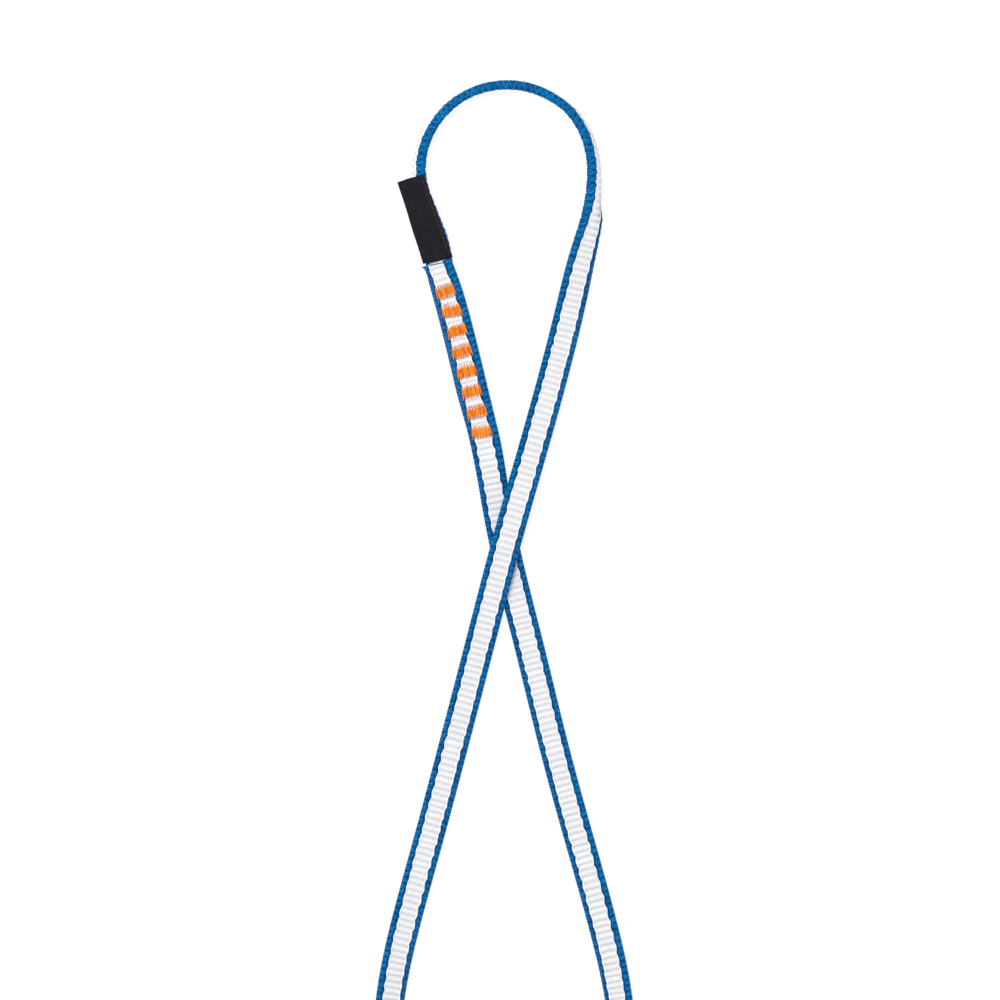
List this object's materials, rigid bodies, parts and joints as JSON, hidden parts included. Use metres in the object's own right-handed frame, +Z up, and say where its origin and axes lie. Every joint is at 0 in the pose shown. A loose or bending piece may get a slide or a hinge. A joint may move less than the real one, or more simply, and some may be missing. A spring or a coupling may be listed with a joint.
{
  "type": "climbing sling",
  "caption": "Sewn endless climbing sling of narrow woven webbing, white with blue edges, closed by a row of bar tacks and carrying a small blank fabric label beside the joint.",
  "frame": {"origin": "on the surface that the sling lies on, under the middle of its outline", "axes": "+Y along the laid-out sling towards its bar-tacked joint, +X across it in the surface, +Z up from the surface"},
  "size_m": [0.0895, 0.5536, 0.0121],
  "materials": {
    "white_webbing": "white high-strength fibre, woven with cross ribs, slight sheen",
    "blue_webbing": "blue fibre, plaited along the edge, satin",
    "tack_thread": "orange sewing thread, satin",
    "label_ribbon": "near-black finely woven ribbon, matte, blank",
    "label_thread": "near-black sewing thread, satin"
  },
  "bodies": {
    "sling": {"webbing_core": "white_webbing", "selvedge_raised": "blue_webbing", "selvedge_lower": "blue_webbing", "bar_tack_1": "tack_thread", "bar_tack_2": "tack_thread", "bar_tack_3": "tack_thread", "bar_tack_4": "tack_thread", "bar_tack_5": "tack_thread", "bar_tack_6": "tack_thread", "bar_tack_7": "tack_thread", "bar_tack_8": "tack_thread", "label_margin": "label_ribbon", "label_stitches": "label_thread"},
    "label": {"label_leaf": "label_ribbon"}
  },
  "joints": [
    {"name": "label_flip", "type": "hinge", "parent": "sling", "child": "label", "pos_m": [-0.02457, 0.23078, 0.00983], "axis": [-0.3099, 0.9451, 0.1036], "range_deg": [0, 150]}
  ]
}
